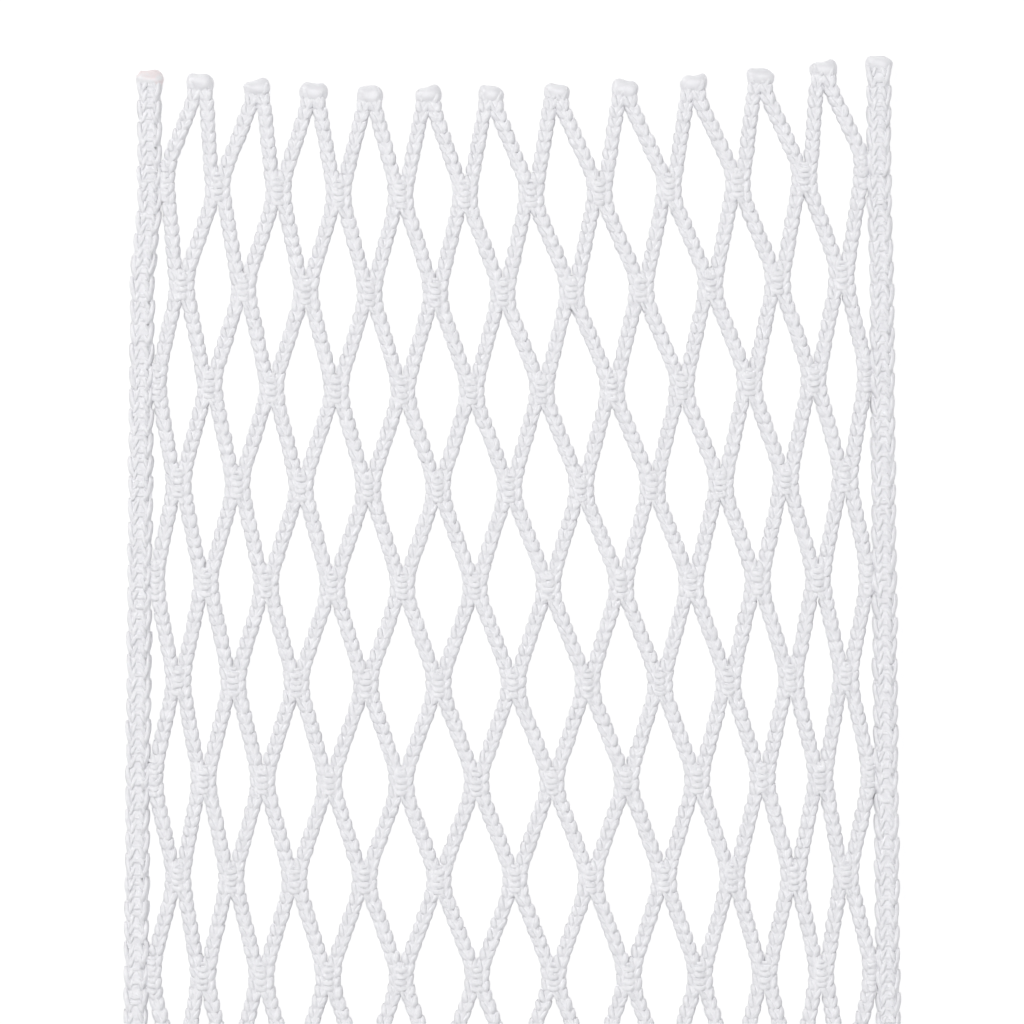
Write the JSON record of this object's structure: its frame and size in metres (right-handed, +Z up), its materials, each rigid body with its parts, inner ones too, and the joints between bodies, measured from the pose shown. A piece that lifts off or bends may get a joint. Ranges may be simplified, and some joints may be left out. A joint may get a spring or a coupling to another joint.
{
  "type": "lacrosse goalie mesh",
  "caption": "Flat piece of white knotless knitted netting with zigzag cords, wide knitted edges and heat-sealed ends, laced into the head of a lacrosse goalkeeper's stick as its pocket.",
  "frame": {"origin": "middle of the net's outline, on the surface that it lies on", "axes": "+Y towards the net's top (scoop) edge, +X to the right seen from above, +Z up, out of the net's face"},
  "size_m": [0.1542, 0.4372, 0.0032],
  "materials": {
    "edge_cord": "knitted white nylon, wide braided edge",
    "mesh_cord": "knitted white nylon cord",
    "joint": "knitted white nylon, cross-lapped",
    "sealed_tip": "melted nylon, smooth and slightly glossy",
    "tinted_tip": "melted nylon with a faint pink tinge"
  },
  "bodies": {
    "root": {"left_selvedge_cord": "edge_cord", "right_selvedge_cord": "edge_cord", "mesh_cord_01": "mesh_cord", "mesh_cord_02": "mesh_cord", "mesh_cord_03": "mesh_cord", "mesh_cord_04": "mesh_cord", "mesh_cord_05": "mesh_cord", "mesh_cord_06": "mesh_cord", "mesh_cord_07": "mesh_cord", "mesh_cord_08": "mesh_cord", "mesh_cord_09": "mesh_cord", "mesh_cord_10": "mesh_cord", "mesh_cord_11": "mesh_cord", "mesh_cord_12": "mesh_cord", "mesh_cord_13": "mesh_cord", "mesh_cord_14": "mesh_cord", "mesh_cord_15": "mesh_cord", "mesh_cord_16": "mesh_cord", "mesh_cord_17": "mesh_cord", "mesh_cord_18": "mesh_cord", "mesh_cord_19": "mesh_cord", "mesh_cord_20": "mesh_cord", "mesh_cord_21": "mesh_cord", "mesh_cord_22": "mesh_cord", "joint_row_01": "joint", "joint_row_02": "joint", "joint_row_03": "joint", "joint_row_04": "joint", "joint_row_05": "joint", "joint_row_06": "joint", "joint_row_07": "joint", "joint_row_08": "joint", "joint_row_09": "joint", "joint_row_10": "joint", "joint_row_11": "joint", "joint_row_12": "joint", "joint_row_13": "joint", "joint_row_14": "joint", "joint_row_15": "joint", "joint_row_16": "joint", "joint_row_17": "joint", "joint_row_18": "joint", "joint_row_19": "joint", "joint_row_20": "joint", "joint_row_21": "joint", "top_sealed_tips": "sealed_tip", "bottom_sealed_tips": "sealed_tip", "top_right_selvedge_tip": "sealed_tip", "bottom_left_selvedge_tip": "sealed_tip", "bottom_right_selvedge_tip": "sealed_tip", "top_left_selvedge_tip": "tinted_tip"}
  },
  "joints": []
}
